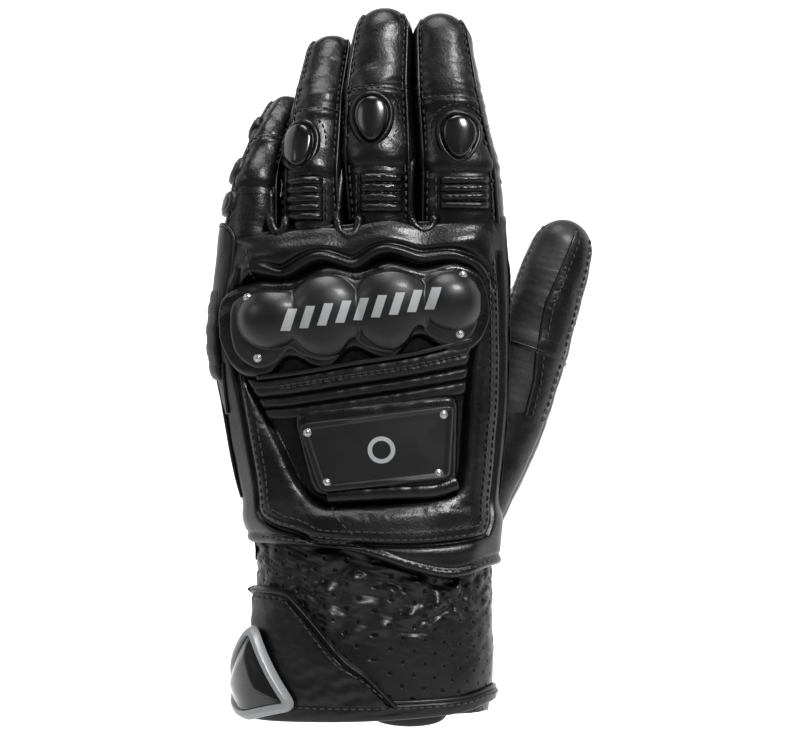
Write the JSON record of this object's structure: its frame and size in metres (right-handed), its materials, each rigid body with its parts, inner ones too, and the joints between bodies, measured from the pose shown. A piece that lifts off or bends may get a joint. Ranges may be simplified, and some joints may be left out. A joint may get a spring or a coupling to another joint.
{
  "type": "riding glove",
  "caption": "Short-cuff riding glove for the left hand, with a hard knuckle guard, a back plate, jointed fingers and thumb, and a wrist strap with a moulded tab.",
  "frame": {"origin": "centre of the wrist opening, in the plane of the hem", "axes": "+Z from the wrist opening to the fingertips, -Y the back of the hand, +Y the palm, +X the thumb side"},
  "size_m": [0.134, 0.0609, 0.2496],
  "materials": {
    "back_leather": "soft black goatskin, semi-gloss with a fine grain",
    "palm_leather": "black leather, matt",
    "guard_shell": "satin to glossy moulded black",
    "moulded_rubber": "matt black",
    "tab_frame": "mid-grey satin",
    "rivet_steel": "bright",
    "strap_fabric": "woven black",
    "lining_fabric": "brushed black"
  },
  "bodies": {
    "cuff": {"cuff_shell": "back_leather", "cuff_hem": "palm_leather", "cuff_lining": "lining_fabric", "cuff_side_panel": "palm_leather", "palm_tongue": "palm_leather", "strap_anchor": "strap_fabric", "loop_tape": "strap_fabric"},
    "strap_end": {"strap_band": "strap_fabric", "hook_tape": "strap_fabric", "strap_tab_frame": "tab_frame", "strap_tab_inlay": "guard_shell"},
    "hand": {"back_panel": "back_leather", "palm_panel": "palm_leather", "thumb_mound": "palm_leather", "knuckle_pad": "back_leather", "knuckle_guard": "guard_shell", "guard_rivet_1": "rivet_steel", "guard_rivet_2": "rivet_steel", "guard_rivet_3": "rivet_steel", "guard_rivet_4": "rivet_steel", "accordion_band": "back_leather", "plate_pad": "back_leather", "back_plate": "guard_shell", "plate_rivet_1": "rivet_steel", "plate_rivet_2": "rivet_steel", "plate_rivet_3": "rivet_steel", "plate_rivet_4": "rivet_steel", "side_guard": "moulded_rubber", "palm_patch": "palm_leather", "heel_pad": "moulded_rubber"},
    "thumb_lower": {"thumb_lower": "back_leather"},
    "thumb_tip": {"thumb_tip": "back_leather"},
    "index_base": {"index_base": "back_leather", "index_accordion": "back_leather"},
    "index_mid": {"index_mid": "back_leather", "index_insert": "guard_shell"},
    "index_tip": {"index_tip": "back_leather"},
    "middle_base": {"middle_base": "back_leather", "middle_accordion": "back_leather"},
    "middle_mid": {"middle_mid": "back_leather", "middle_insert": "guard_shell"},
    "middle_tip": {"middle_tip": "back_leather"},
    "ring_base": {"ring_base": "back_leather", "ring_accordion": "back_leather"},
    "ring_mid": {"ring_mid": "back_leather", "ring_insert": "guard_shell"},
    "ring_tip": {"ring_tip": "back_leather"},
    "little_base": {"little_base": "back_leather", "little_armour_1": "moulded_rubber"},
    "little_mid": {"little_mid": "back_leather", "little_armour_2": "moulded_rubber"},
    "little_tip": {"little_tip": "back_leather", "little_armour_3": "moulded_rubber"}
  },
  "joints": [
    {"name": "wrist_bend", "type": "hinge", "parent": "cuff", "child": "hand", "pos_m": [0, 0, 0.045], "axis": [-1, 0, 0], "range_deg": [-25, 25]},
    {"name": "strap_peel", "type": "hinge", "parent": "cuff", "child": "strap_end", "pos_m": [-0.01724, 0.02965, 0.0125], "axis": [0, 0, -1], "range_deg": [0, 75]},
    {"name": "index_knuckle", "type": "hinge", "parent": "hand", "child": "index_base", "pos_m": [0.033, -0.0036, 0.163], "axis": [-1, 0, 0], "range_deg": [-4, 58]},
    {"name": "index_middle", "type": "hinge", "parent": "index_base", "child": "index_mid", "pos_m": [0.0322, -0.00208, 0.18475], "axis": [-1, 0, 0], "range_deg": [-8, 60]},
    {"name": "index_end", "type": "hinge", "parent": "index_mid", "child": "index_tip", "pos_m": [0.0292, 0.00353, 0.21116], "axis": [-1, 0, 0], "range_deg": [-8, 34]},
    {"name": "middle_knuckle", "type": "hinge", "parent": "hand", "child": "middle_base", "pos_m": [0.0054, -0.0054, 0.1635], "axis": [-1, 0, 0], "range_deg": [-5, 57]},
    {"name": "middle_middle", "type": "hinge", "parent": "middle_base", "child": "middle_mid", "pos_m": [0.0054, -0.00331, 0.18741], "axis": [-1, 0, 0], "range_deg": [-10, 58]},
    {"name": "middle_end", "type": "hinge", "parent": "middle_mid", "child": "middle_tip", "pos_m": [0.0056, 0.00378, 0.21388], "axis": [-1, 0, 0], "range_deg": [-8, 34]},
    {"name": "ring_knuckle", "type": "hinge", "parent": "hand", "child": "ring_base", "pos_m": [-0.0181, -0.0049, 0.1615], "axis": [-1, 0, 0], "range_deg": [-8, 54]},
    {"name": "ring_middle", "type": "hinge", "parent": "ring_base", "child": "ring_mid", "pos_m": [-0.018, -0.00205, 0.1818], "axis": [-1, 0, 0], "range_deg": [-14, 54]},
    {"name": "ring_end", "type": "hinge", "parent": "ring_mid", "child": "ring_tip", "pos_m": [-0.017, 0.00807, 0.20683], "axis": [-1, 0, 0], "range_deg": [-14, 28]},
    {"name": "little_knuckle", "type": "hinge", "parent": "hand", "child": "little_base", "pos_m": [-0.0406, -0.0018, 0.1595], "axis": [-1, 0, 0], "range_deg": [-12, 50]},
    {"name": "little_middle", "type": "hinge", "parent": "little_base", "child": "little_mid", "pos_m": [-0.0392, 0.00248, 0.17965], "axis": [-1, 0, 0], "range_deg": [-22, 46]},
    {"name": "little_end", "type": "hinge", "parent": "little_mid", "child": "little_tip", "pos_m": [-0.0382, 0.01311, 0.1954], "axis": [-1, 0, 0], "range_deg": [-16, 26]},
    {"name": "thumb_base", "type": "hinge", "parent": "hand", "child": "thumb_lower", "pos_m": [0.0482, 0.0085, 0.099], "axis": [-0.9497, 0, 0.3132], "range_deg": [-4, 38]},
    {"name": "thumb_end", "type": "hinge", "parent": "thumb_lower", "child": "thumb_tip", "pos_m": [0.06152, 0.01494, 0.13938], "axis": [-0.9497, 0, 0.3132], "range_deg": [-6, 44]}
  ],
  "couplings": [
    {"joint": "index_end", "follows": "index_middle", "ratio": 0.5},
    {"joint": "middle_end", "follows": "middle_middle", "ratio": 0.5},
    {"joint": "ring_end", "follows": "ring_middle", "ratio": 0.5},
    {"joint": "little_end", "follows": "little_middle", "ratio": 0.5}
  ]
}
